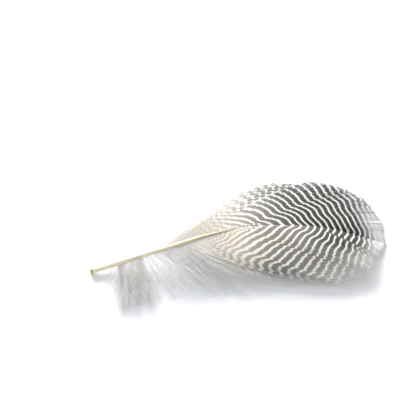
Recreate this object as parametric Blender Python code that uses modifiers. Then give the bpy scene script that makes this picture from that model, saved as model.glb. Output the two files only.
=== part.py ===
"""A barred flank feather that lies dome side up on a table, as one grown piece.

Plan positions run from the cut end of the quill at x = 0 towards the tip, with the
table at z = 0. Sizes are in millimetres here, and MM turns them into metres.
"""
import math
import random
from collections import namedtuple

import bmesh
import bpy

MM = 0.001

LENGTH = 62.0
VANE_START = 13.0
VANE_END = 60.0

# The shaft seen from above, its height above the table and its thickness.
SHAFT_PLAN = [(0, 0), (8, 1.28), (16, 2.56), (24, 3.93), (33, 4.76), (42, 4.15), (50, 3.08), (56, 1.6),
              (LENGTH, 0)]
SHAFT_HEIGHT = [(0, 0.64), (8, 1.75), (16, 2.8), (24, 3.75), (33, 4.5), (42, 4.45), (50, 3.5), (56, 2.0),
                (LENGTH, 0.24)]
SHAFT_RADIUS = [(0, 0.63), (4, 0.61), (13, 0.52), (24, 0.36), (33, 0.24), (46, 0.16), (LENGTH, 0.09)]
SHAFT_POINTS = 32
SHAFT_SIDES = 2
HEADING_STEP = 0.5

# Barbs leave the shaft at ANGLE degrees, turn BEND degrees towards the tip and end after REACH.
FAR_ANGLE = [(13, 38), (20, 35), (28, 33), (44, 28), (52, 22), (LENGTH, 2)]
FAR_BEND = [(13, 20), (28, 14), (44, 8), (LENGTH, 0)]
FAR_REACH = [(13, 29), (20, 27.6), (28, 27), (36, 24.9), (44, 17.8), (52, 9.9), (58, 4), (LENGTH, 0.3)]
NEAR_ANGLE = [(13, 44), (20, 45), (28, 42), (36, 34), (44, 28), (52, 21), (LENGTH, 2)]
NEAR_BEND = [(13, 18), (28, 18), (44, 9), (LENGTH, 0)]
NEAR_REACH = [(13, 19), (17, 26), (22, 30.4), (28, 29.8), (36, 25), (44, 17.8), (52, 9.8), (58, 4),
              (LENGTH, 0.3)]

VANE_THICKNESS = 0.4
MARGIN_THINNING = 0.6
MARGIN_HEIGHT = 0.22
DOME_LEAN = 0.22
DOME_POWER = 2.4

# Barbs hang together in locks, whose tips stand out of the margin as blunt teeth.
VANE_LOCKS = 16
COLUMNS_PER_LOCK = 4
ROWS_PER_VANE = 6
LOCK_NOTCH = 0.04
LOCK_RIDGE = 0.06
RIDGE_RISE = 1.2
TIP_LOCK_SHARE = 0.5

QUILL_BORE_RADIUS = 0.36
QUILL_BORE_START = -1.0
QUILL_BORE_DEPTH = 2.6

# Locks of down leave the shaft between two roots, fan out between two headings and reach
# from the first to the last length. Each curls sideways by curl degrees and lifts off the table.
Fan = namedtuple("Fan", "locks roots headings reaches curl lift")
DOWN_FANS = {
    "tuft": Fan(12, (4.6, 12.8), (-120, -84), (10.4, 12.9), 10, 0.9),
    "skirt": Fan(10, (9.3, 18.9), (-66, -34), (13.2, 23.4), 12, 0.55),
    "far_down": Fan(4, (7.2, 12.4), (112, 64), (3.4, 4.8), -12, 0.6),
}
DOWN_SIDES = 1
DOWN_POINTS = 7
DOWN_RADIUS = 0.62
DOWN_REST_HEIGHT = 0.37
DOWN_ROOT_DEPTH = 0.1
DOWN_SINK_POWER = 1.6
DOWN_LIFT_POWER = 1.5

# A lock's thickness starts at STUB of its full size, swells and then tapers to a blunt tip.
LOCK_STUB = 0.55
LOCK_SWELL = 0.9
LOCK_TAPER = 1.1

# How far each lock may differ from its place in the fan.
HEADING_SPREAD = (-3, 3)
REACH_SPREAD = (0.9, 1.08)
CURL_SPREAD = (0.4, 1.3)
LIFT_SPREAD = (0.5, 1.4)
RADIUS_SPREAD = (0.9, 1.1)
SEED = 7

WELD_DISTANCE = 0.00001
SHARP_ANGLE = 40
BARB_COLOUR = (0.62, 0.59, 0.54)
BARB_ROUGHNESS = 0.7


def through(points, x):
    """Value at x of the smooth line through points of (x, value)."""
    last = len(points) - 1
    i = max(0, min(last - 1, sum(p[0] <= x for p in points) - 1))
    (x0, y0), (x1, y1) = points[i], points[i + 1]
    xa, ya = points[max(i - 1, 0)]
    xb, yb = points[min(i + 2, last)]
    span = x1 - x0
    t = (x - x0) / span
    m0 = (y1 - ya) / (x1 - xa) * span
    m1 = (yb - y0) / (xb - x0) * span
    ends = (2 * t**3 - 3 * t**2 + 1) * y0 + (3 * t**2 - 2 * t**3) * y1
    return ends + (t**3 - 2 * t**2 + t) * m0 + (t**3 - t**2) * m1


def shaft_point(x):
    return x, through(SHAFT_PLAN, x), through(SHAFT_HEIGHT, x)


def shaft_heading(x):
    ahead = min(x + HEADING_STEP, LENGTH)
    behind = ahead - 2 * HEADING_STEP
    return math.atan2(through(SHAFT_PLAN, ahead) - through(SHAFT_PLAN, behind), 2 * HEADING_STEP)


def between(ends, share):
    """Value at a share of the way from the first of two ends to the last."""
    return ends[0] + (ends[1] - ends[0]) * share


def fall(v):
    """Share of the shaft's height lost at share v of a barb: level first, then curling down."""
    return DOME_LEAN * v + (1 - DOME_LEAN) * v**DOME_POWER


def barb_path(root, side, reach, points):
    """Points along a barb from its root; side is +1 for the far vane and -1 for the near one."""
    angle = through(FAR_ANGLE if side > 0 else NEAR_ANGLE, root)
    bend = through(FAR_BEND if side > 0 else NEAR_BEND, root)
    x, y, height = shaft_point(root)
    path = [(x, y, height)]
    for k in range(points):
        v = (k + 0.5) / points
        heading = shaft_heading(root) + side * math.radians(angle - bend * v)
        x += reach / points * math.cos(heading)
        y += reach / points * math.sin(heading)
        path.append((x, y, height - (height - MARGIN_HEIGHT) * fall((k + 1) / points)))
    return path


def new_material(name, colour, roughness):
    material = bpy.data.materials.new(name)
    material.use_nodes = True
    shader = material.node_tree.nodes["Principled BSDF"]
    shader.inputs["Base Color"].default_value = (*colour, 1)
    shader.inputs["Roughness"].default_value = roughness
    shader.inputs["Metallic"].default_value = 0.0
    return material


def make_vane_sheet(collection):
    """Both vanes as one domed sheet: columns follow the barbs, and the middle row is the shaft."""
    columns = VANE_LOCKS * COLUMNS_PER_LOCK
    rows = 2 * ROWS_PER_VANE
    bm = bmesh.new()
    bmesh.ops.create_grid(bm, x_segments=columns, y_segments=rows, size=1.0)
    mesh = bpy.data.meshes.new("vane_sheet")
    sheet = bpy.data.objects.new("vane_sheet", mesh)
    collection.objects.link(sheet)
    thick = sheet.vertex_groups.new(name="thick")
    paths = []
    for column in range(columns + 1):
        q = column / columns
        root = VANE_START + (VANE_END - VANE_START) * q
        place = (column % COLUMNS_PER_LOCK) / COLUMNS_PER_LOCK
        ridge = math.sin(math.pi * place)
        length = 1 - LOCK_NOTCH * (1 - ridge) * between((1, TIP_LOCK_SHARE), q)
        near = barb_path(root, -1, through(NEAR_REACH, root) * length, ROWS_PER_VANE)
        far = barb_path(root, 1, through(FAR_REACH, root) * length, ROWS_PER_VANE)
        paths.append((near[:0:-1] + far, ridge))
    weights = []
    for vert in bm.verts:
        column = round((vert.co.x + 1) / 2 * columns)
        row = round((vert.co.y + 1) / 2 * rows)
        points, ridge = paths[column]
        q = column / columns
        v = abs(row - ROWS_PER_VANE) / ROWS_PER_VANE
        rise = math.sin(math.pi * min(v * RIDGE_RISE, 1) / 2)
        x, y, z = points[row]
        z += LOCK_RIDGE * (ridge - 0.5) * rise * between((1, TIP_LOCK_SHARE), q)
        vert.co = (x * MM, y * MM, z * MM)
        weights.append((1 - v) * math.sqrt(1 - q))
    bm.to_mesh(mesh)
    bm.free()
    for index, weight in enumerate(weights):
        thick.add([index], weight, "REPLACE")
    solid = sheet.modifiers.new("thickness", "SOLIDIFY")
    solid.thickness = VANE_THICKNESS * MM
    solid.offset = -1
    solid.vertex_group = thick.name
    solid.thickness_vertex_group = 1 - MARGIN_THINNING
    return sheet


def make_tube(name, points, radii, resolution, collection):
    """A tapering round tube with closed ends, as a mesh object."""
    curve = bpy.data.curves.new(name + "_line", "CURVE")
    curve.dimensions = "3D"
    curve.bevel_depth = MM
    curve.bevel_resolution = resolution
    curve.use_fill_caps = True
    spline = curve.splines.new("POLY")
    spline.points.add(len(points) - 1)
    for point, place, radius in zip(spline.points, points, radii):
        point.co = (place[0] * MM, place[1] * MM, place[2] * MM, 1)
        point.radius = radius
    line = bpy.data.objects.new(name + "_line", curve)
    collection.objects.link(line)
    bpy.context.view_layer.update()
    evaluated = line.evaluated_get(bpy.context.evaluated_depsgraph_get())
    mesh = bpy.data.meshes.new_from_object(evaluated)
    mesh.name = name
    bm = bmesh.new()
    bm.from_mesh(mesh)
    bmesh.ops.remove_doubles(bm, verts=bm.verts, dist=WELD_DISTANCE)
    bmesh.ops.recalc_face_normals(bm, faces=bm.faces)
    bm.to_mesh(mesh)
    bm.free()
    tube = bpy.data.objects.new(name, mesh)
    tube.matrix_world = line.matrix_world
    collection.objects.link(tube)
    bpy.data.objects.remove(line)
    return tube


def make_shaft(collection):
    places = [LENGTH * (k / (SHAFT_POINTS - 1)) for k in range(SHAFT_POINTS)]
    points = [shaft_point(x) for x in places]
    radii = [through(SHAFT_RADIUS, x) for x in places]
    return make_tube("feather", points, radii, SHAFT_SIDES, collection)


def make_quill_bore(collection):
    """The hollow that shows in the cut end of the quill."""
    (x0, z0), (x1, z1) = SHAFT_HEIGHT[:2]
    slope = (z1 - z0) / (x1 - x0)
    heading = shaft_heading(HEADING_STEP)
    points = [(x * math.cos(heading), x * math.sin(heading), z0 + x * slope)
              for x in (QUILL_BORE_START, QUILL_BORE_DEPTH)]
    return make_tube("quill_bore", points, [QUILL_BORE_RADIUS] * 2, SHAFT_SIDES, collection)


def down_path(root, heading, reach, curl, lift):
    """A soft lock that leaves the shaft, sinks to the table and curls to one side."""
    x, y, height = shaft_point(root)
    path = [(x, y, height - DOWN_ROOT_DEPTH)]
    for k in range(1, DOWN_POINTS):
        v = k / (DOWN_POINTS - 1)
        turn = math.radians(heading + curl * v)
        x += reach / (DOWN_POINTS - 1) * math.cos(turn)
        y += reach / (DOWN_POINTS - 1) * math.sin(turn)
        above_rest = (height - DOWN_REST_HEIGHT) * (1 - v)**DOWN_SINK_POWER
        path.append((x, y, DOWN_REST_HEIGHT + above_rest + lift * math.sin(math.pi * v)**DOWN_LIFT_POWER))
    return path


def make_down(collection):
    """All the loose locks at the foot of the feather, as one mesh of crossing tubes."""
    rng = random.Random(SEED)
    shares = [i / (DOWN_POINTS - 1) for i in range(DOWN_POINTS)]
    swellings = [LOCK_STUB + LOCK_SWELL * v - LOCK_TAPER * v**2 for v in shares]
    bm = bmesh.new()
    for name, fan in DOWN_FANS.items():
        for k in range(fan.locks):
            q = k / (fan.locks - 1)
            root = between(fan.roots, q)
            heading = between(fan.headings, q) + rng.uniform(*HEADING_SPREAD)
            reach = between(fan.reaches, q) * rng.uniform(*REACH_SPREAD)
            curl = fan.curl * rng.uniform(*CURL_SPREAD)
            lift = fan.lift * rng.uniform(*LIFT_SPREAD)
            path = down_path(root, heading, reach, curl, lift)
            radii = [DOWN_RADIUS * swelling * rng.uniform(*RADIUS_SPREAD) for swelling in swellings]
            lock = make_tube(f"{name}_{k:02d}", path, radii, DOWN_SIDES, collection)
            bm.from_mesh(lock.data)
            bpy.data.objects.remove(lock)
    mesh = bpy.data.meshes.new("down_locks")
    bm.to_mesh(mesh)
    bm.free()
    down = bpy.data.objects.new("down_locks", mesh)
    collection.objects.link(down)
    return down


def combine(body, tool, operation):
    step = body.modifiers.new(tool.name, "BOOLEAN")
    step.operation = operation
    step.solver = "EXACT"
    step.use_self = operation == "UNION"
    step.object = tool
    tool.hide_render = True
    tool.display_type = "WIRE"


def centre_on_origin(body, parts):
    """An empty carries every piece, so that the middle of the feather's box is over the origin."""
    bpy.context.view_layer.update()
    evaluated = body.evaluated_get(bpy.context.evaluated_depsgraph_get())
    corners = [vert.co.copy() for vert in evaluated.data.vertices]
    middle_x = (min(c.x for c in corners) + max(c.x for c in corners)) / 2
    middle_y = (min(c.y for c in corners) + max(c.y for c in corners)) / 2
    lowest = min(c.z for c in corners)
    carrier = bpy.data.objects.new("feather_place", None)
    body.users_collection[0].objects.link(carrier)
    for part in parts:
        part.parent = carrier
    carrier.location = (-middle_x, -middle_y, -lowest)
    bpy.context.view_layer.update()


def build():
    for item in list(bpy.data.objects):
        bpy.data.objects.remove(item)
    feathers = bpy.data.collections.new("flank_feather")
    tools = bpy.data.collections.new("joined_and_cut_forms")
    bpy.context.scene.collection.children.link(feathers)
    bpy.context.scene.collection.children.link(tools)
    feather = make_shaft(feathers)
    bore = make_quill_bore(tools)
    sheet = make_vane_sheet(tools)
    down = make_down(tools)
    combine(feather, bore, "DIFFERENCE")
    combine(feather, sheet, "UNION")
    combine(feather, down, "UNION")
    feather.data.materials.append(new_material("barbs", BARB_COLOUR, BARB_ROUGHNESS))
    centre_on_origin(feather, [feather, bore, sheet, down])
    feather.data.shade_smooth()
    feather.data.set_sharp_from_angle(angle=math.radians(SHARP_ANGLE))


build()
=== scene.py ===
"""Looks of the barred flank feather: shaft, two vanes of separate barbs and loose down.

Places are in millimetres from the cut end of the quill, with the table at z = 0, as the
feather was drawn. FOOT moves them to the frame's own origin. With a pair (low, high), a thing
begins or ends smoothly between the two places, and with (most, low, high) it reaches most.
"""
import math
from collections import namedtuple

import bpy
import numpy as np
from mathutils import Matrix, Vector


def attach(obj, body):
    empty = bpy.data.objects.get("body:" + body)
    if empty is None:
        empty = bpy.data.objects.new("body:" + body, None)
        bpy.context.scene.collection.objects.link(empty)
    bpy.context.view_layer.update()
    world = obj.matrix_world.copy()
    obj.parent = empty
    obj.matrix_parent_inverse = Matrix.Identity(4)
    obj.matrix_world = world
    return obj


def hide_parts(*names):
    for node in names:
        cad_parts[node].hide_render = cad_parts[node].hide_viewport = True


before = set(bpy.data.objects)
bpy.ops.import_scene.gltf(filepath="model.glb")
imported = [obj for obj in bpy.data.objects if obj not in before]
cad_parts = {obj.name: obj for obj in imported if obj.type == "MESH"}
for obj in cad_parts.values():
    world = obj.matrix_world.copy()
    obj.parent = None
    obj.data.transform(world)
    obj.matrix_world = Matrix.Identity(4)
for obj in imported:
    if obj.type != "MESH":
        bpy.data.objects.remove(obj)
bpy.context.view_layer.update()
bpy.ops.object.select_all(action="DESELECT")

MM = 0.001
UP = np.array([0.0, 0.0, 1.0])
BODY = "root"
NODE = "feather"
SEED = 11

# Where the middle of the quill's cut end lies on the table, in the frame.
FOOT = np.array([-30.966, -4.272, -0.016])

# The shaft. A list of (place along the shaft, value) stands for the smooth line through it.
LENGTH = 62.0
# The quill narrows in a small lip here.
LIP = (12.9, 13.1)
SHAFT_PLAN = [(0, 0), (8, 1.28), (16, 2.56), (24, 3.93), (33, 4.76), (42, 4.15), (50, 3.08), (56, 1.6),
              (LENGTH, 0)]
SHAFT_HEIGHT = [(0, 0.64), (8, 1.75), (16, 2.8), (24, 3.75), (33, 4.5), (42, 4.45), (50, 3.5), (56, 2.0),
                (LENGTH, 0.3)]
SHAFT_RADIUS = [(0, 0.62), (4, 0.6), (LIP[0], 0.5), (LIP[1], 0.44), (22, 0.33), (26, 0.22), (30, 0.15),
                (42, 0.11), (50, 0.08), (LENGTH, 0.035)]
SHAFT_SIDES = 20
SHAFT_RINGS = 60
SMOOTH_ANGLE = 40
# Between these places the shaft sinks under the roots of the barbs.
SHAFT_SINKS = (27.0, 40.0)
SINK_MARGIN = 0.12
# The hollow of the quill, and how it runs in from the cut end.
BORE_RADIUS = 0.36
BORE_RUN = np.array([2.6, 0.4, 0.3])

# The vanes: FAR is the one behind the shaft and NEAR the one in front of it.
FAR, NEAR = 1, -1
VANE_START = {FAR: 15.4, NEAR: 13.2}
VANE_END = 61.5
BARBS = 200
BARB_STEPS = 24
# Barbs leave the shaft at ANGLE degrees, turn BEND degrees towards the tip and end after REACH.
ANGLE = {FAR: [(13, 38), (20, 35), (28, 33), (44, 28), (50, 27), (54, 30), (58, 35), (59.5, 27),
               (61, 10), (LENGTH, 2)],
         NEAR: [(13, 44), (20, 45), (28, 42), (36, 34), (44, 28), (48, 26.5), (52, 25), (56, 22),
                (58, 18), (60, 10), (LENGTH, 2)]}
BEND = {FAR: [(13, 20), (28, 14), (44, 8), (LENGTH, 0)],
        NEAR: [(13, 18), (28, 18), (44, 9), (LENGTH, 0)]}
REACH = {FAR: [(13, 28.4), (20, 27.1), (28, 26.8), (36, 24.9), (44, 18.3), (50, 12.8), (54, 8.6),
               (58, 4.3), (59.5, 2.6), (61, 1.0), (LENGTH, 0.3)],
         NEAR: [(13, 19), (17, 26), (22, 30.8), (28, 30.4), (36, 25.0), (44, 17.2), (48, 13.8),
                (52, 10.1), (56, 6.1), (58, 4.1), (60.8, 1.1), (LENGTH, 0.3)]}
# How high the margins stand above the table; the near one is a little raised.
MARGIN_HEIGHT = {FAR: [(13, 0.22), (LENGTH, 0.22)],
                 NEAR: [(13, 0.3), (22, 1.0), (30, 1.7), (42, 1.7), (54, 0.7), (LENGTH, 0.25)]}
# A barb falls evenly by this share of its drop, and by the rest in a dome of this power.
DOME_LEAN = 0.22
DOME_POWER = 2.4

# Half a barb's width as a share of the spacing of the barbs, so that each lies over the next.
HALF_WIDTH = 0.64
SPACING_LIMITS = (0.05, 0.45)
# A barb keeps its width up to this share of its length, and its end is thinner by END_TAPER.
TAPER_FROM = {FAR: 0.95, NEAR: 0.86}
END_TAPER = 0.88
# Barbs next to the quill are downy: how much so the first are, and between which places it ends.
DOWNY = {FAR: (0.4, 15, 19), NEAR: (1.0, 13, 22)}
DOWNY_TAPER = 0.7
# Barbs turn in waves of so many barbs. Of the pairs, the second number is added for downy barbs.
TURN_WAVE_BARBS = 7
TURN_WAVE = (0.3, 1.0)
TURN_SPREAD = (0.12, 1.2)
REACH_SPREAD = (0.005, 0.05)
# A barb's ridge stands above and below its edges, and its front edge is tilted up.
BARB_RIDGE = 0.035
RIDGE_TAPER = 0.7
BARB_TILT = 0.02
# Neither is more than this share of half the width of a thin barb.
RIDGE_SHARE = 0.25
TILT_SHARE = 0.12

# The bars. A point's bar number is whole in the middle of a white line and half in a dark bar.
# BAR_COUNT gives it on the shaft. A bar runs back towards the quill on both sides of the shaft:
# BAR_SPAN to the side, it is about BAR_LEAD nearer the quill, and it turns back the sooner the
# higher its BAR_CURL is. BAR_KNEE is how round the turn is beyond BAR_SPAN.
BAR_COUNT = [(10, -10.5), (24, -4.2), (33.9, 0), (38.4, 2), (42.8, 4), (47.4, 7), (52.8, 11), (57.65, 15),
             (LENGTH, 19)]
BAR_SPAN = 15.0
BAR_KNEE = 0.35
BAR_LEAD = {FAR: [(20, 14), (30, 13.0), (36, 11.2), (42, 9.2), (48, 6.9), (54, 4.5), (60, 1.9)],
            NEAR: [(20, 17), (30, 15.8), (36, 13.8), (42, 11.5), (48, 9.0), (54, 6.3), (60, 3.5)]}
BAR_CURL = {FAR: [(20, 2.6), (30, 2.4), (36, 1.8), (42, 1.4), (48, 1.1), (54, 0.8), (60, 0.5)],
            NEAR: [(20, 2.6), (30, 2.3), (36, 1.75), (42, 1.4), (48, 1.2), (54, 1.15), (60, 1.3)]}
# Where the bars begin, by distance from the shaft, and how gradually.
BARS_FROM = {FAR: [(0, 21), (6, 24), (11, 26), (15, 28.5), (20, 31)],
             NEAR: [(0, 24), (5.3, 26.8), (7.3, 29.4), (9.5, 31.2), (11, 34), (13, 38), (16, 44)]}
BARS_SET_IN = (-3.0, 3.5)

# Bars are wavy because barbs slide on each other. Each wave is so many barbs long and so high, in
# bars, and higher by the last number where the barbs are loose. Single barbs slide by BARB_SLIDE.
BAR_WAVES = [(13, 0.13, 0.06), (5, 0.05, 0.03)]
BARB_SLIDE = (0.01, 0.035)
LOOSE_BARBS_END = (18, 28)
WAVES_BEGIN = (0, 0.14)
# Freckles and ripples: the barbs in a wave, its height and the slide of single barbs, in bars.
FRECKLES = (2, 0.4, 0.15)
NEAR_RIPPLES = (4, 0.22, 0.1)
NEAR_RIPPLES_BEGIN = (0.78, 0.97)
# Nearer the quill than this the bars break up into freckles, and beside the shaft they do so
# further on, over this share of a barb's length.
FRECKLES_END = {FAR: (24.5, 31.0), NEAR: (23.5, 31.0)}
SHAFT_FRECKLES_END = (31.0, 38.0)
SHAFT_FRECKLES_WIDTH = (0.02, 0.09)
# Waves in the margin of the far vane.
FAR_RIPPLE_BARBS = 4
FAR_RIPPLE = 0.16
FAR_RIPPLES_BEGIN = (0.86, 0.97)
FAR_RIPPLED_ROOTS = (24, 30)
# White barbs part the bars of the far vane: the one that passes SPLIT, and its neighbours. On the
# quill's side of them, from SPLIT_BEGINS outwards, the bars zigzag, each turn ZIGZAG_BARBS wide.
SPLIT = (36.1, 13.05)
SPLIT_NEIGHBOURS = 1
SPLIT_BEGINS = (0.3, 0.42)
ZIGZAG_BARBS = 8
ZIGZAG = 0.6
ZIGZAG_ROOTS = (16, 20)
WHITE_BARB_BEGINS = (0.44, 0.5)
WHITE_BARB_ENDS = (0.78, 0.84)
# The first barbs of the far vane always show some of their bars.
FIRST_BARBS = 3
FIRST_BARBS_COVER = 0.6
# Dark barbs part the bars of the near vane: the one that passes CHAIN, and its neighbours. Beside
# them the bars shift by half a bar, which ends CHAIN_SHIFT_ENDS barbs on, and at the tip they
# break into DASH_ROWS rows of dashes as long as DASH_BARBS barbs are wide.
CHAIN = (53.9, -0.8)
CHAIN_NEIGHBOURS = 2
CHAIN_INK_BEGINS = (49, 52)
CHAIN_SHIFT_BEGINS = (48, 51)
CHAIN_SHIFT_ENDS = (8, 30)
DASH_BARBS = 7
DASH_ROWS = 4
DASHES_BEGIN = (54, 56)

# How dark the bars are, from 0 to 1: the ink at the quill, and where more is added further on.
FAR_INK = 0.1
FAR_DARKENS = (26, 48)
NEAR_INK = 0.04
NEAR_DARKENS = (0.5, 28, 40)
NEAR_SHAFT_DARKENS = (0.45, 42, 51)
NEAR_SHAFT_INK_ENDS = (2.5, 8)
NEAR_MARGIN_LIGHTENS = (0.15, 0.7, 1.0)
# At the tip the bars fade out over these bar numbers, in the far vane less so away from the
# shaft: by how much less, and between which distances from it.
TIP_FADES = (14.0, 18.4)
FAR_SIDE_KEEPS = (0.7, 4, 11)
# Fading towards the near margin: how far, along which share of the barbs, and where on the shaft. It is
# partly the margin's own paler bars and partly painted light: a painted glow through the thin margin near
# the tip, and painted light against the shade where the margin turns down.
NEAR_TIP_FADE_AND_LIGHT = (0.75, (0.72, 0.98), (46, 54))
NEAR_MARGIN_FADE_AND_LIGHT = (0.85, (0.6, 0.95))
NEAR_MARGIN_LIGHT_EASES = (0.35, 40, 48)
NEAR_BASE_FADE_AND_LIGHT = (0.75, (0.5, 0.85), (33, 41))
# The white is warm near the quill; on the far vane it is also darker there, as painted shade.
BY_QUILL_ENDS = (19, 35)


def through(points, x):
    """Values at x of the smooth line through points of (x, value)."""
    px, py = np.array(points, float).T
    x = np.clip(np.asarray(x, float), px[0], px[-1])
    i = np.clip(np.searchsorted(px, x, side="right") - 1, 0, len(px) - 2)
    before, after = np.maximum(i - 1, 0), np.minimum(i + 2, len(px) - 1)
    span = px[i + 1] - px[i]
    t = (x - px[i]) / span
    m0 = (py[i + 1] - py[before]) / (px[i + 1] - px[before]) * span
    m1 = (py[after] - py[i]) / (px[after] - px[i]) * span
    ends = (2 * t**3 - 3 * t**2 + 1) * py[i] + (3 * t**2 - 2 * t**3) * py[i + 1]
    return ends + (t**3 - 2 * t**2 + t) * m0 + (t**3 - t**2) * m1


def rise(x, low, high):
    """0 below low, 1 above high and smooth between them."""
    t = np.clip((np.asarray(x, float) - low) / (high - low), 0, 1)
    return t * t * (3 - 2 * t)


def rise_to(x, most, low, high):
    """0 below low, most above high and smooth between them."""
    return most * rise(x, low, high)


def wander(random, every):
    """Smooth random values, one for each barb and about as large as 1, that change over so many barbs."""
    knots = [(k, random.normal()) for k in range(-every, BARBS + 2 * every, every)]
    return through(knots, np.arange(BARBS))


def unit(vectors):
    """The vectors drawn out or shortened to a length of 1."""
    smallest = 1e-12
    return vectors / np.maximum(np.linalg.norm(vectors, axis=-1, keepdims=True), smallest)


def shaft_point(x):
    return np.stack([x, through(SHAFT_PLAN, x), through(SHAFT_HEIGHT, x)], -1)


def shaft_heading(x):
    step = 0.5
    ahead = np.minimum(np.asarray(x, float) + step, LENGTH)
    behind = ahead - 2 * step
    return np.arctan2(through(SHAFT_PLAN, ahead) - through(SHAFT_PLAN, behind), 2 * step)


def walk(start, heading, reach):
    """x and y of paths that set out from start and take a new heading at each of their equal steps."""
    steps = heading.shape[1]
    plan = []
    for axis, share in enumerate((np.cos(heading), np.sin(heading))):
        first = start[:, axis:axis + 1]
        plan.append(np.concatenate([first, first + np.cumsum(share * reach[:, None] / steps, 1)], 1))
    return plan


def barb_paths(roots, side, reach_share=1.0, turn=0.0):
    """Points along barbs, one row each, and their place v, from 0 at the root to 1 at the end.

    turn is each barb's own extra angle in degrees.
    """
    angle = through(ANGLE[side], roots) + turn
    bend = through(BEND[side], roots)
    reach = through(REACH[side], roots) * reach_share
    middle = (np.arange(BARB_STEPS) + 0.5) / BARB_STEPS
    heading = shaft_heading(roots)[:, None] + side * np.radians(angle[:, None] - bend[:, None] * middle)
    start = shaft_point(roots)
    x, y = walk(start, heading, reach)
    v = np.arange(BARB_STEPS + 1) / BARB_STEPS
    drop = start[:, 2:] - through(MARGIN_HEIGHT[side], roots)[:, None]
    height = start[:, 2:] - drop * (DOME_LEAN * v + (1 - DOME_LEAN) * v**DOME_POWER)
    return np.stack([x, y, height], -1), v


def bar_number(points, side):
    """The bar numbers of points of a vane, and how far to the side of the shaft the points lie."""
    x = points[..., 0]
    w = np.maximum(side * (points[..., 1] - through(SHAFT_PLAN, x)), 0)
    left = 1 - w / BAR_SPAN
    inwards = (left + np.sqrt(left**2 + BAR_KNEE**2)) / (1 + math.sqrt(1 + BAR_KNEE**2))
    place = x + through(BAR_LEAD[side], x) * (1 - inwards ** through(BAR_CURL[side], x))
    beyond = np.maximum(place - LENGTH, 0)
    return through(BAR_COUNT, place) + beyond, w


def closed_tubes(rings, columns):
    """Faces and corner UVs of tubes closed at both ends; rings is (tube, ring, corner, 3).

    On the UV map the tubes lie side by side in so many columns.
    """
    tubes, count, corners, _ = rings.shape
    places = np.arange(tubes), np.arange(count - 1), np.arange(corners)
    tube, ring, corner = np.meshgrid(*places, indexing="ij")
    following = (corner + 1) % corners

    def index(which_ring, which_corner):
        return (tube * count + which_ring) * corners + which_corner

    sides = np.stack([index(ring, corner), index(ring + 1, corner), index(ring + 1, following),
                      index(ring, following)], -1).reshape(-1, 4)
    first = np.arange(tubes)[:, None] * count * corners
    starts = first + np.arange(corners)
    ends = first + (count - 1) * corners + np.arange(corners)[::-1]
    rows = math.ceil(tubes / columns)
    left = (tube % columns) / columns
    low = (tube // columns) / rows
    u0 = left + ring / (count - 1) / columns
    u1 = left + (ring + 1) / (count - 1) / columns
    v0 = low + corner / corners / rows
    v1 = low + (corner + 1) / corners / rows
    side_uv = np.stack([np.stack([u0, v0], -1), np.stack([u1, v0], -1), np.stack([u1, v1], -1),
                        np.stack([u0, v1], -1)], -2).reshape(-1, 4, 2)
    each = np.arange(tubes)
    corner_uv = np.stack([(each % columns) / columns, (each // columns + 0.5) / rows], -1)
    cap_uv = np.repeat(corner_uv[:, None, :], corners, 1)
    return sides, np.concatenate([starts, ends]), side_uv, np.concatenate([cap_uv, cap_uv])


def tube_piece(name, rings, material, values, columns=1):
    """One mesh of many closed tubes; values holds a number for every point, by name."""
    sides, caps, side_uv, cap_uv = closed_tubes(rings, columns)
    mesh = bpy.data.meshes.new(name)
    points = (rings.reshape(-1, 3) + FOOT) * MM
    mesh.from_pydata(points.tolist(), [], sides.tolist() + caps.tolist())
    mesh.uv_layers.new(name="OFBake")
    corner_uv = np.concatenate([side_uv.reshape(-1, 2), cap_uv.reshape(-1, 2)])
    mesh.uv_layers["OFBake"].uv.foreach_set("vector", corner_uv.ravel())
    for key, value in values.items():
        layer = mesh.attributes.new(key, "FLOAT", "POINT")
        layer.data.foreach_set("value", np.broadcast_to(value, rings.shape[:3]).ravel())
    mesh.polygons.foreach_set("use_smooth", np.ones(len(mesh.polygons), bool))
    mesh.materials.append(material)
    piece = bpy.data.objects.new(name, mesh)
    bpy.context.scene.collection.objects.link(piece)
    join_feather(piece)


def join_feather(piece):
    """Makes a piece part of the feather: it hangs under the body, and the feather's solid is hidden."""
    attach(piece, BODY)
    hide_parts(NODE)


class Value:
    """A shader value that takes part in ordinary sums."""

    def __init__(self, shader, socket):
        self.shader = shader
        self.socket = socket

    def math(self, operation, *others):
        return self.shader.node("Math", {"operation": operation}, dict(enumerate((self, *others))))

    def __add__(self, other):
        return self.math("ADD", other)

    __radd__ = __add__

    def __mul__(self, other):
        return self.math("MULTIPLY", other)

    __rmul__ = __mul__

    def __sub__(self, other):
        return self.math("SUBTRACT", other)

    def __rsub__(self, other):
        return self * -1 + other


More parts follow.
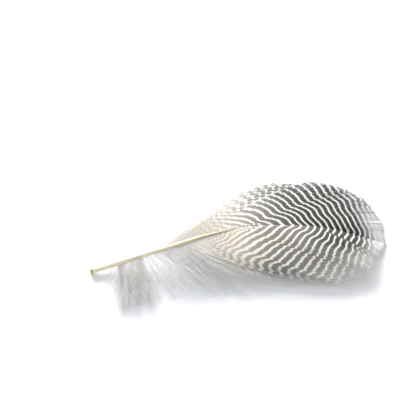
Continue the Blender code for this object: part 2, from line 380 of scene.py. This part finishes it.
class Shader:
    """A material's nodes."""

    def __init__(self, name):
        self.material = bpy.data.materials.new(name)
        self.material.use_nodes = True
        self.tree = self.material.node_tree
        self.tree.nodes.clear()

    def node(self, kind, settings, sockets, output=0):
        """Adds a node, sets it up and returns one of its outputs as a value."""
        node = self.tree.nodes.new("ShaderNode" + kind)
        for key, value in settings.items():
            setattr(node, key, value)
        for key, value in sockets.items():
            if isinstance(value, Value):
                self.tree.links.new(value.socket, node.inputs[key])
            else:
                node.inputs[key].default_value = value
        return Value(self, node.outputs[output]) if len(node.outputs) else None

    def attribute(self, name):
        return self.node("Attribute", {"attribute_name": name}, {}, "Fac")

    def place(self):
        return self.node("TexCoord", {}, {}, "Object")

    def noise(self, vector, scale, detail=2.0):
        return self.node("TexNoise", {}, {"Vector": vector, "Scale": scale, "Detail": detail}, "Fac")

    def step(self, value, low, high):
        """0 below low, 1 above high and smooth between them."""
        sockets = {"Value": value, "From Min": low, "From Max": high}
        return self.node("MapRange", {"interpolation_type": "SMOOTHSTEP"}, sockets)

    def mix(self, share, first, second):
        """First colour where share is 0 and second where it is 1."""
        # The node has sockets for numbers, vectors and colours; 6, 7 and output 2 are the colours'.
        return self.node("Mix", {"data_type": "RGBA"}, {0: share, 6: first, 7: second}, 2)

    def grain(self, strength, distance, height):
        """The surface's normal, roughened by height over a distance in millimetres."""
        sockets = {"Strength": strength, "Distance": distance * MM, "Height": height}
        return self.node("Bump", {}, sockets, "Normal")

    def finish(self, sockets):
        """The finished material: one surface whose sockets are set as given."""
        surface = self.node("BsdfPrincipled", {}, sockets, "BSDF")
        self.node("OutputMaterial", {}, {"Surface": surface})
        return self.material


def colour(red, green, blue):
    """Linear colour of a shade given as screen values from 0 to 255."""
    shares = np.array([red, green, blue]) / 255
    linear = np.where(shares <= 0.04045, shares / 12.92, ((shares + 0.055) / 1.055) ** 2.4)
    return (*linear, 1.0)


# Fineness of the noises in the materials, in waves per metre.
RAGGED = 3200
BROAD = 500
PATCHES = 1400
STREAKS = 5200
FIBRES = 6000
CLOUD = 420
DOWN_PATCHES = 900

# The barbs' colours. The dark of the bars goes from pale through middle to dark as their ink grows.
FAR_WHITE = colour(246, 244, 239)
# Near the quill the far vane's white is warm in tone, and darker than the near vane's as painted shade.
FAR_WARM_WHITE_WITH_PAINTED_SHADE = colour(199, 194, 184)
NEAR_WHITE = colour(246, 243, 236)
NEAR_WARM_WHITE = colour(232, 226, 214)
PALE_BAR = colour(204, 190, 172)
MIDDLE_BAR = colour(145, 140, 129)
DARK_BAR = colour(58, 58, 52)
# Bars pale to this colour; at the tip and along the near margin the pale is partly painted light.
FADED_AND_LIT_BAR = colour(240, 241, 241)
STREAK = colour(120, 116, 106)
# How far from the middle of a white line the dark begins, in bars, and by how much sooner where
# the bars are well inked.
BAR_EDGE = (0.22, 0.28)
INK_WIDENS = 0.08
# How far the noises shift the edge of the bars, in bars.
RAGGED_SHIFT = 0.09
BROAD_SHIFT = 0.16

QUILL_IVORY = colour(255, 244, 216)
QUILL_GOLD = colour(252, 236, 200)
SHAFT_TAN = colour(222, 202, 162)
QUILL_CLOUD = colour(226, 217, 194)
QUILL_FIBRE = colour(196, 178, 138)
PALE_END = colour(241, 236, 217)
AMBER = colour(196, 156, 92)
CUT_FACE = colour(150, 122, 78)
# Places along the quill where one colour goes over into the next.
SHAFT_TANS = (21.0, 24.5)
PALE_ENDS = (1.0, 2.2)
AMBER_ENDS = (0.35, 0.75)
CUT_FACE_ENDS = (0.02, 0.2)

DOWN_WHITE = colour(252, 253, 255)
DOWN_GREY = colour(222, 212, 198)
DOWN_PATCH = colour(214, 211, 206)


def barred_material(name, white_barb, white_by_quill):
    """White and dark bars that follow the barbs' own bar number."""
    shader = Shader(name)
    place = shader.place()
    ragged = shader.noise(place, RAGGED) - 0.5
    broad = shader.noise(place, BROAD) - 0.5
    patches = shader.noise(place, PATCHES, 3.0) - 0.5
    streaks = shader.noise(place, STREAKS)
    ink = shader.attribute("ink")

    number = shader.attribute("bar") + ragged * RAGGED_SHIFT + broad * BROAD_SHIFT
    apart = ((number + 0.5).math("FRACT") - 0.5).math("ABSOLUTE")
    dark = shader.step(apart + shader.step(ink, 0.1, 0.6) * INK_WIDENS, *BAR_EDGE)
    cover = shader.step(shader.attribute("cover") + patches * 1.2, 0.3, 0.6)

    shade = shader.mix(shader.step(ink, 0.0, 0.5), PALE_BAR, MIDDLE_BAR)
    shade = shader.mix(shader.step(ink, 0.4, 1.0), shade, DARK_BAR)
    # Bars pale where they fade, and along the near margin partly as painted light.
    shade = shader.mix(shader.attribute("fade_and_light"), shade, FADED_AND_LIT_BAR)
    # The warm white near the quill, which on the far vane is also painted shade.
    white = shader.mix(shader.attribute("by_quill"), white_barb, white_by_quill)
    over_inked = shader.step(ink, 1.1, 1.5) * 0.6
    white = shader.mix(over_inked, white, shade)
    painted = shader.mix(cover * dark, white, shade)
    painted = shader.mix(shader.step(streaks, 0.35, 0.75) * 0.1, painted, STREAK)
    return shader.finish({
        "Base Color": painted, "Roughness": 0.48 + streaks * 0.3,
        "Normal": shader.grain(0.35, 0.02, streaks),
        "Specular IOR Level": 0.3, "Sheen Weight": 0.15, "Sheen Roughness": 0.4,
        "Subsurface Weight": 0.5, "Subsurface Radius": (0.0006, 0.0006, 0.0006)})


def quill_material():
    """Ivory keratin, amber at the cut end and golden tan where it thins out."""
    shader = Shader("quill_keratin")
    place = shader.place()
    along = shader.node("SeparateXYZ", {}, {0: place}, "X") * (1 / MM) - FOOT[0]
    drawn_out = shader.node("Mapping", {}, {"Vector": place, "Scale": (0.06, 1.0, 1.0)})
    fibres = shader.noise(drawn_out, FIBRES, 3.0)
    cloud = shader.noise(place, CLOUD)

    body = shader.mix(shader.step(along, *LIP), QUILL_IVORY, QUILL_GOLD)
    body = shader.mix(shader.step(along, *SHAFT_TANS), body, SHAFT_TAN)
    body = shader.mix(shader.step(cloud, 0.5, 0.7) * 0.3, body, QUILL_CLOUD)
    body = shader.mix(shader.step(fibres, 0.4, 0.75) * 0.35, body, QUILL_FIBRE)
    body = shader.mix(shader.step(along, *PALE_ENDS), PALE_END, body)
    uneven = along + (cloud - 0.5) * 0.8
    body = shader.mix(shader.step(uneven, *AMBER_ENDS), AMBER, body)
    body = shader.mix(shader.step(along, *CUT_FACE_ENDS), CUT_FACE, body)
    return shader.finish({
        "Base Color": body, "Roughness": 0.26 + fibres * 0.22,
        "Normal": shader.grain(0.3, 0.03, fibres),
        "Coat Weight": 0.2, "Coat Roughness": 0.2,
        "Subsurface Weight": 0.35, "Subsurface Radius": (0.0006, 0.0005, 0.0003)})


def down_material():
    """White and pale grey down."""
    shader = Shader("soft_down")
    patches = shader.noise(shader.place(), DOWN_PATCHES, 3.0)
    body = shader.mix(shader.attribute("shade"), DOWN_WHITE, DOWN_GREY)
    body = shader.mix(shader.step(patches, 0.4, 0.7) * 0.25, body, DOWN_PATCH)
    return shader.finish({
        "Base Color": body, "Roughness": 0.75 + patches * 0.25,
        "Sheen Weight": 0.3, "Sheen Roughness": 0.5,
        "Subsurface Weight": 0.6, "Subsurface Radius": (0.0005, 0.0005, 0.0005)})


def make_shaft(material):
    """A round bar drawn out ring by ring from its cut end, with the hollow of the quill sunk in it."""
    at = np.linspace(0, LENGTH, SHAFT_RINGS)
    radius = through(SHAFT_RADIUS, at)
    centres = shaft_point(at)
    centres[:, 2] -= (radius + SINK_MARGIN) * rise(at, *SHAFT_SINKS)
    centres[:, 2] = np.maximum(centres[:, 2], radius + SINK_MARGIN)
    points = (centres + FOOT) * MM
    radius *= MM
    bpy.ops.mesh.primitive_circle_add(vertices=SHAFT_SIDES, radius=radius[0], fill_type="NGON",
                                      location=points[0], rotation=(0, -math.pi / 2, 0))
    shaft = bpy.context.object
    shaft.name = "shaft"
    bpy.ops.object.transform_apply(location=True, rotation=True, scale=True)
    bpy.ops.object.mode_set(mode="EDIT")
    bpy.ops.mesh.select_all(action="SELECT")
    for before, here, r0, r1 in zip(points, points[1:], radius, radius[1:]):
        bpy.ops.mesh.extrude_region_move(TRANSFORM_OT_translate={"value": Vector(here - before)})
        bpy.ops.transform.resize(value=(1, r1 / r0, r1 / r0), center_override=Vector(here))
    select_cut_face(shaft)
    bpy.ops.mesh.inset(thickness=(radius[0] - BORE_RADIUS * MM))
    bpy.ops.mesh.extrude_region_move(TRANSFORM_OT_translate={"value": Vector(BORE_RUN * MM)})
    bpy.ops.mesh.select_all(action="SELECT")
    bpy.ops.mesh.normals_make_consistent(inside=False)
    bpy.ops.object.mode_set(mode="OBJECT")
    shaft.data.materials.append(material)
    bpy.ops.object.shade_smooth_by_angle(angle=math.radians(SMOOTH_ANGLE))
    shaft.select_set(False)
    join_feather(shaft)


def select_cut_face(shaft):
    """Selects the flat face at the cut end alone."""
    bpy.ops.mesh.select_all(action="DESELECT")
    bpy.ops.object.mode_set(mode="OBJECT")
    cut_face = min(shaft.data.polygons, key=lambda face: face.center.x)
    cut_face.select = True
    bpy.ops.object.mode_set(mode="EDIT")
    bpy.ops.mesh.select_mode(type="FACE")


def nearest_barb(paths, place):
    """Number of the barb that passes closest to a place on the plan."""
    gaps = np.linalg.norm(paths[..., :2] - np.array(place), axis=-1)
    return int(np.unravel_index(gaps.argmin(), gaps.shape)[0])


def barb_roots(side):
    return np.linspace(VANE_START[side], VANE_END, BARBS)


def ripples(random, every, height, slide):
    """Each barb's shift, from smooth waves of so many barbs and its own small slide, in bars."""
    return (wander(random, every) * height + random.normal(0, slide, BARBS))[:, None]


def bar_phases(random, even, side, v):
    """What each point adds to its bar number, so that bars are wavy and broken."""
    barbs = np.arange(BARBS)
    roots = barb_roots(side)
    x = even[..., 0]
    loose = 1 - rise(roots, *LOOSE_BARBS_END)
    wave = 0
    for every, height, looser in BAR_WAVES:
        wave = wave + wander(random, every) * (height + looser * loose)
    wave += random.normal(0, BARB_SLIDE[0] + BARB_SLIDE[1] * loose)
    phase = wave[:, None] * rise(v, *WAVES_BEGIN)

    by_shaft = (1 - rise(v, *SHAFT_FRECKLES_WIDTH)) * (1 - rise(x, *SHAFT_FRECKLES_END))
    freckled = np.maximum(1 - rise(x, *FRECKLES_END[side]), by_shaft)
    phase += ripples(random, *FRECKLES) * freckled
    if side == FAR:
        split = nearest_barb(even, SPLIT)
        parted = (barbs < split)[:, None] * rise(v, *SPLIT_BEGINS)
        sawtooth = np.abs((split - barbs) / ZIGZAG_BARBS % 1.0 - 0.5) * 2
        phase += parted * (0.5 + ZIGZAG * (sawtooth - 0.5) * rise(roots, *ZIGZAG_ROOTS))[:, None]
        rippled = rise(v, *FAR_RIPPLES_BEGIN) * rise(roots, *FAR_RIPPLED_ROOTS)[:, None]
        phase += wander(random, FAR_RIPPLE_BARBS)[:, None] * FAR_RIPPLE * rippled
    else:
        before_chain = nearest_barb(even, CHAIN) - barbs
        shifted = (before_chain > 0) * (1 - rise(before_chain, *CHAIN_SHIFT_ENDS))
        phase += 0.5 * shifted[:, None] * rise(x, *CHAIN_SHIFT_BEGINS)
        in_rows = (before_chain > 0) * (before_chain < DASH_ROWS * DASH_BARBS)
        dashed = in_rows * (before_chain // DASH_BARBS % 2)
        phase += 0.5 * dashed[:, None] * rise(x, *DASHES_BEGIN)
        phase += ripples(random, *NEAR_RIPPLES) * rise(v, *NEAR_RIPPLES_BEGIN)
    return phase


def bar_tones(even, side, w, number, v):
    """Share of the bars that shows, how dark they are, how much they pale (on the near vane partly as
    painted light) and where the warmer white near the quill lies (on the far vane also painted shade).
    """
    x = even[..., 0]
    barbs = np.arange(BARBS)[:, None]
    cover = rise(x - through(BARS_FROM[side], w), *BARS_SET_IN)
    fade_and_light = rise(number, *TIP_FADES)
    if side == FAR:
        ink = FAR_INK + (1 - FAR_INK) * rise(x, *FAR_DARKENS)
        fade_and_light = fade_and_light * (1 - rise_to(w, *FAR_SIDE_KEEPS))
        beside_split = np.abs(barbs - nearest_barb(even, SPLIT)) <= SPLIT_NEIGHBOURS
        bare = beside_split * rise(v, *WHITE_BARB_BEGINS) * (1 - rise(v, *WHITE_BARB_ENDS))
        # Taken off twice, so that the patches in the material leave nothing of the bars there.
        cover = np.maximum(cover - 2 * bare, FIRST_BARBS_COVER * (barbs < FIRST_BARBS))
    else:
        ink = NEAR_INK + rise_to(x, *NEAR_DARKENS)
        ink = ink + rise_to(x, *NEAR_SHAFT_DARKENS) * (1 - rise(w, *NEAR_SHAFT_INK_ENDS))
        ink = ink - rise_to(v, *NEAR_MARGIN_LIGHTENS)
        beside_chain = np.abs(barbs - nearest_barb(even, CHAIN)) <= CHAIN_NEIGHBOURS
        ink = ink + beside_chain * rise(x, *CHAIN_INK_BEGINS)
        # Towards the near vane's tip, margin and base the bars pale, partly as painted light.
        most, along_barb, along_shaft = NEAR_TIP_FADE_AND_LIGHT
        fade_and_light = np.maximum(fade_and_light, most * rise(v, *along_barb) * rise(x, *along_shaft))
        most, along_barb = NEAR_MARGIN_FADE_AND_LIGHT
        fade_and_light = np.maximum(fade_and_light, (most - rise_to(x, *NEAR_MARGIN_LIGHT_EASES)) * rise(v, *along_barb))
        most, along_barb, along_shaft = NEAR_BASE_FADE_AND_LIGHT
        fade_and_light = np.maximum(fade_and_light, most * rise(v, *along_barb) * (1 - rise(x, *along_shaft)))
    # Near the quill the white is warm, and on the far vane also painted shade.
    by_quill = 1 - rise(x, *BY_QUILL_ENDS)
    return cover, ink, fade_and_light, by_quill


def make_vane(name, side, material):
    """A vane of separate barbs that lie edge over edge, each with its own small differences."""
    random = np.random.default_rng(SEED + side)
    roots = barb_roots(side)
    even, v = barb_paths(roots, side)
    first_downy, *downy_ends = DOWNY[side]
    downy = first_downy * (1 - rise(roots, *downy_ends))
    turn = wander(random, TURN_WAVE_BARBS) * (TURN_WAVE[0] + TURN_WAVE[1] * downy)
    turn = turn + random.normal(0, TURN_SPREAD[0] + TURN_SPREAD[1] * downy)
    share = 1 + random.normal(0, REACH_SPREAD[0] + REACH_SPREAD[1] * downy)
    paths, _ = barb_paths(roots, side, share, turn)

    along = unit(np.gradient(even, axis=1))
    towards_tip = side * unit(np.cross(along, UP))
    between = np.gradient(even, axis=0)
    between -= (between * along).sum(-1, keepdims=True) * along
    spacing = (between * towards_tip).sum(-1)
    across = unit(np.where(spacing[..., None] > SPACING_LIMITS[0], between, towards_tip))
    up = -side * unit(np.cross(along, across))
    narrowed = 1 - END_TAPER * rise(v, TAPER_FROM[side], 1.0)
    half = HALF_WIDTH * np.clip(spacing, *SPACING_LIMITS) * narrowed * (1 - DOWNY_TAPER * downy)[:, None]
    ridge = np.minimum(BARB_RIDGE * (1 - RIDGE_TAPER * v), RIDGE_SHARE * half)[..., None]
    tilt = np.minimum(BARB_TILT, TILT_SHARE * half)[..., None]
    back = paths - across * half[..., None] - up * tilt
    front = paths + across * half[..., None] + up * tilt
    top = paths + up * ridge
    under = paths - up * ridge
    # The corners of the near barbs run the other way round, so that all faces point outwards.
    corners = [back, under, front, top] if side == FAR else [back, top, front, under]

    number, w = bar_number(even, side)
    cover, ink, fade_and_light, by_quill = bar_tones(even, side, w, number, v)
    number = number + bar_phases(random, even, side, v)
    values = {"bar": number[..., None], "ink": ink[..., None], "cover": cover[..., None],
              "fade_and_light": fade_and_light[..., None], "by_quill": by_quill[..., None]}
    tube_piece(name, np.stack(corners, 2), material, values)


# A fan of loose down: how many stems, where they leave the shaft, their headings in degrees and
# their lengths from first to last, by how many degrees they curl, how high they come to rest and
# how late they fall, how many side strands each has and how long those are, and how grey it is.
Fan = namedtuple("Fan", "stems roots headings reaches curl rests falls strands strand_length grey")
DOWN_FANS = {
    "base_tuft": Fan(90, (5.9, 10.9), (-101, -84), (12.0, 11.0), 6, (0.3, 1.9), (0.7, 1.6), 60, 1.2, 1.5),
    "near_skirt": Fan(66, (9.8, 20.0), (-76, -42), (10.8, 18.6), 16, (0.3, 1.2), (1.0, 2.6), 40, 1.3, 0.3),
    "skirt_curls": Fan(30, (9.6, 18.0), (-96, -46), (6.4, 13.0), 44, (0.4, 1.6), (0.7, 1.5), 40, 1.3, 0.3),
    "basal_barbs": Fan(80, (13.0, 26.0), (-54, -28), (15.6, 27.0), 8, (0.3, 1.0), (1.3, 2.6), 48, 1.0, 0.7),
    "side_curls": Fan(12, (5.2, 7.5), (-136, -112), (4.4, 7.6), 50, (0.2, 0.9), (0.8, 1.5), 50, 0.9, 0.5),
    "far_wisps": Fan(18, (12.6, 17.0), (52, 34), (6.0, 19.0), -8, (0.6, 1.6), (1.0, 1.6), 60, 0.8, 1.0),
}
DOWN_STEPS = 14
# How unequal the stems of a fan are: their places in it, headings in degrees, lengths and curls.
STEM_SHIFT = 0.8
HEADING_SPREAD = 5
REACH_SHARES = (0.78, 1.0)
CURL_SPREAD = 0.6
# A stem also swings to both sides, by so many degrees and in so many waves.
SWING = 9
SWING_WAVES = (0.8, 1.6)
# Thickness of stems and strands, and by which share they get thinner and less grey to their ends.
STEM_RADIUS = 0.036
STEM_TAPER = 0.7
STRAND_RADIUS = 0.013
STRAND_TAPER = 0.75
GREY_FADE = 0.6
# The higher this is, the fewer stems are grey.
GREY_POWER = 1.5
STRAND_SIDES = 3
STRAND_STEPS = 3
# The first strands leave the stem this far along it, and the lower STRANDS_CROWD is, the more of
# them sit near its end. Each leans forward by STRAND_LEAN for 1 to its side, and scatters.
STRANDS_FROM = 0.03
STRANDS_CROWD = 0.85
STRAND_LEAN = 1.3
STRAND_SCATTER = 0.5
# At both ends of a stem the strands are this share as long as in its middle, and single strands
# are longer or shorter than that.
STRAND_END_LENGTH = 0.55
STRAND_SHARES = (0.6, 1.1)
# How far a strand's end bends away at random, and forward along the stem.
STRAND_SAG = 0.35
STRAND_DRAG = 0.4
# The middle of a strand lies no lower than this.
LOWEST = 0.06
# Leans the upright a little, so that a strand that stands upright still has a side.
OFF_UPRIGHT = 0.01
# Strands lie in so many columns on the UV map.
STRAND_COLUMNS = 32


def down_paths(fan, random):
    """Curved stems of a fan, one row of points each, and their place v from root to end."""
    places = np.arange(fan.stems) + random.uniform(-STEM_SHIFT, STEM_SHIFT, fan.stems)
    share = np.clip(places / (fan.stems - 1), 0, 1)
    root, heading, reach = (first + (last - first) * share for first, last in
                            (fan.roots, fan.headings, fan.reaches))
    heading = heading + random.normal(0, HEADING_SPREAD, fan.stems)
    reach = reach * random.uniform(*REACH_SHARES, fan.stems)
    middle = (np.arange(DOWN_STEPS) + 0.5) / DOWN_STEPS
    curl = fan.curl * random.normal(1, CURL_SPREAD, fan.stems)[:, None] * middle
    waves = middle * random.uniform(*SWING_WAVES, fan.stems)[:, None] + random.random(fan.stems)[:, None]
    swing = SWING * np.sin(2 * np.pi * waves)
    start = shaft_point(root)
    x, y = walk(start, np.radians(heading[:, None] + curl + swing), reach)
    v = np.arange(DOWN_STEPS + 1) / DOWN_STEPS
    rest = random.uniform(*fan.rests, fan.stems)[:, None]
    fall = v ** random.uniform(*fan.falls, fan.stems)[:, None]
    height = start[:, 2:] * (1 - fall) + rest * fall
    return np.stack([x, y, height], -1), v


def round_rings(paths, radius):
    """Rings of a thin strand around each path; radius is one number for every path point."""
    along = unit(np.gradient(paths, axis=1))
    side = unit(np.cross(along, UP + OFF_UPRIGHT))
    up = np.cross(side, along)
    turn = 2 * np.pi * np.arange(STRAND_SIDES) / STRAND_SIDES
    around = side[:, :, None] * np.cos(turn)[:, None] + up[:, :, None] * np.sin(turn)[:, None]
    return paths[:, :, None] + around * radius[..., None, None]


def side_strands(paths, fan, random):
    """Fine strands on both sides of a fan's stems, and how far along its stem each sits."""
    share = random.uniform(STRANDS_FROM, 1, (len(paths), fan.strands)) ** STRANDS_CROWD
    at = share * DOWN_STEPS
    low = np.minimum(at.astype(int), DOWN_STEPS - 1)
    part = (at - low)[..., None]
    rows = np.arange(len(paths))[:, None]
    start = paths[rows, low] * (1 - part) + paths[rows, low + 1] * part
    along = unit(paths[rows, low + 1] - paths[rows, low])
    side = unit(np.cross(along, UP))
    hand = np.where(random.random(share.shape) < 0.5, -1.0, 1.0)[..., None]
    outward = unit(along * STRAND_LEAN + side * hand + random.normal(0, STRAND_SCATTER, start.shape))
    longest = STRAND_END_LENGTH + (1 - STRAND_END_LENGTH) * np.sin(np.pi * share)
    length = fan.strand_length * longest * random.uniform(*STRAND_SHARES, share.shape)
    t = (np.arange(STRAND_STEPS + 1) / STRAND_STEPS)[:, None]
    sag = random.normal(0, STRAND_SAG, start.shape) + along * STRAND_DRAG
    strands = start[:, :, None] + (outward * length[..., None])[:, :, None] * t + sag[:, :, None] * t**2
    strands = strands.reshape(-1, STRAND_STEPS + 1, 3)
    strands[..., 2] = np.maximum(strands[..., 2], LOWEST)
    return strands, share


def make_down(name, fan, material):
    """Loose down: curved stems in one piece and the fine side strands in another."""
    random = np.random.default_rng(SEED + len(name))
    paths, v = down_paths(fan, random)
    greyness = (fan.grey * random.random(fan.stems) ** GREY_POWER)[:, None]
    stem_shade = greyness * (1 - GREY_FADE * v)
    stem_radius = np.broadcast_to(STEM_RADIUS * (1 - STEM_TAPER * v), paths.shape[:2])
    tube_piece(name + "_stems", round_rings(paths, stem_radius), material,
               {"shade": stem_shade[..., None]})
    strands, share = side_strands(paths, fan, random)
    strand_shade = np.repeat((greyness * (1 - GREY_FADE * share)).reshape(-1, 1), STRAND_STEPS + 1, 1)
    t = np.arange(STRAND_STEPS + 1) / STRAND_STEPS
    strand_radius = np.broadcast_to(STRAND_RADIUS * (1 - STRAND_TAPER * t), strands.shape[:2])
    tube_piece(name, round_rings(strands, strand_radius), material,
               {"shade": strand_shade[..., None]}, STRAND_COLUMNS)


# Loose ends along the margin of the near vane: how many, at which places on the shaft their barbs
# begin, how far out on the barb they start, and how long they are, with shorter ones at the tip.
FRINGE_SEED = SEED + 5
FRINGE_STRANDS = 900
FRINGE_ROOTS = (15, 50)
FRINGE_FROM = 0.74
FRINGE_REACH = (0.6, 2.6)
FRINGE_SHORTENS = (0.7, 34, 48)
# Mean and spread of their turn against the barb and of their own bend, in degrees.
FRINGE_TURN = (-4, 10)
FRINGE_BEND = (6, 14)
# How high their ends lie, and how much higher the whole fringe is laid.
FRINGE_RESTS = (0.1, 0.8)
FRINGE_LIFT = 0.06
FRINGE_RADIUS = 0.022
FRINGE_TAPER = 0.8
FRINGE_GREY = 0.35
FRINGE_COLUMNS = 16


def make_fringe(material):
    """Fine loose ends along the margin of the near vane."""
    random = np.random.default_rng(FRINGE_SEED)
    roots = random.uniform(*FRINGE_ROOTS, FRINGE_STRANDS)
    paths, _ = barb_paths(roots, NEAR)
    first = random.integers(int(BARB_STEPS * FRINGE_FROM), BARB_STEPS, FRINGE_STRANDS)
    rows = np.arange(FRINGE_STRANDS)
    start = paths[rows, first]
    along = unit(start - paths[rows, first - 1])
    heading = np.arctan2(along[:, 1], along[:, 0]) + np.radians(random.normal(*FRINGE_TURN, FRINGE_STRANDS))
    reach = random.uniform(*FRINGE_REACH, FRINGE_STRANDS) * (1 - rise_to(roots, *FRINGE_SHORTENS))
    t = np.arange(STRAND_STEPS + 1) / STRAND_STEPS
    curve = heading[:, None] - np.radians(random.normal(*FRINGE_BEND, FRINGE_STRANDS))[:, None] * t
    x = start[:, :1] + np.cos(curve) * reach[:, None] * t
    y = start[:, 1:2] + np.sin(curve) * reach[:, None] * t
    rest = random.uniform(*FRINGE_RESTS, FRINGE_STRANDS)[:, None]
    z = start[:, 2:] * (1 - t) + rest * t + FRINGE_LIFT
    strands = np.stack([x, y, np.maximum(z, LOWEST)], -1)
    radius = np.broadcast_to(FRINGE_RADIUS * (1 - FRINGE_TAPER * t), strands.shape[:2])
    tube_piece("margin_fringe", round_rings(strands, radius), material,
               {"shade": FRINGE_GREY}, FRINGE_COLUMNS)


# The floor, the camera and the light. Sizes of the floor and the light are in metres.
FLOOR_SIZE = 1.2
FLOOR_COLOUR = (0.94, 0.94, 0.94, 1)
FLOOR_ROUGHNESS = 0.9
# The camera looks down at AIM from this distance, as a long lens would. CAMERA_HALF_TAN is half
# the width of the view at a distance of 1.
CAMERA_AZIMUTH = -7.02
CAMERA_ELEVATION = 50.0
CAMERA_DISTANCE = 310.258
CAMERA_AIM = np.array([24.809, 16.919, 0.0])
CAMERA_HALF_TAN = 0.1387
SENSOR = 36.0
SKY_COLOUR = (0.94, 0.968, 1.0, 1)
SKY_STRENGTH = 0.7
KEY_PLACE = (-0.12, 0.46, 0.19)
KEY_SIZE = 0.3
KEY_POWER = 5.3


def make_floor():
    bpy.ops.mesh.primitive_plane_add(size=FLOOR_SIZE, location=(0, 0, 0))
    floor = bpy.context.object
    floor.name = "floor"
    paper = Shader("white_paper").finish({"Base Color": FLOOR_COLOUR, "Roughness": FLOOR_ROUGHNESS})
    floor.data.materials.append(paper)
    floor.select_set(False)


def make_camera():
    azimuth = math.radians(CAMERA_AZIMUTH)
    elevation = math.radians(CAMERA_ELEVATION)
    back = Vector((math.sin(azimuth) * math.cos(elevation), -math.cos(azimuth) * math.cos(elevation),
                   math.sin(elevation)))
    camera_data = bpy.data.cameras.new("camera")
    camera_data.sensor_width = SENSOR
    camera_data.lens = SENSOR / 2 / CAMERA_HALF_TAN
    camera = bpy.data.objects.new("camera", camera_data)
    bpy.context.scene.collection.objects.link(camera)
    camera.location = Vector((CAMERA_AIM + FOOT) * MM) + back * CAMERA_DISTANCE * MM
    camera.rotation_euler = back.to_track_quat("Z", "Y").to_euler()
    bpy.context.scene.camera = camera


def light_studio():
    """A pale sky and one broad lamp low behind the feather, turned to its middle."""
    world = bpy.data.worlds.new("studio")
    world.use_nodes = True
    sky = world.node_tree.nodes["Background"]
    sky.inputs["Color"].default_value = SKY_COLOUR
    sky.inputs["Strength"].default_value = SKY_STRENGTH
    bpy.context.scene.world = world
    lamp = bpy.data.lights.new("key", "AREA")
    lamp.shape = "DISK"
    lamp.size = KEY_SIZE
    lamp.energy = KEY_POWER
    key = bpy.data.objects.new("key", lamp)
    bpy.context.scene.collection.objects.link(key)
    key.location = KEY_PLACE
    key.rotation_euler = Vector(KEY_PLACE).to_track_quat("Z", "Y").to_euler()
    bpy.context.scene.view_settings.view_transform = "Standard"


far_barbs = barred_material("barred_far_barbs", FAR_WHITE, FAR_WARM_WHITE_WITH_PAINTED_SHADE)
near_barbs = barred_material("barred_near_barbs", NEAR_WHITE, NEAR_WARM_WHITE)
quill = quill_material()
down = down_material()
make_shaft(quill)
make_vane("far_vane_barbs", FAR, far_barbs)
make_vane("near_vane_barbs", NEAR, near_barbs)
for fan_name, fan_values in DOWN_FANS.items():
    make_down(fan_name, fan_values, down)
make_fringe(down)
make_floor()
make_camera()
light_studio()
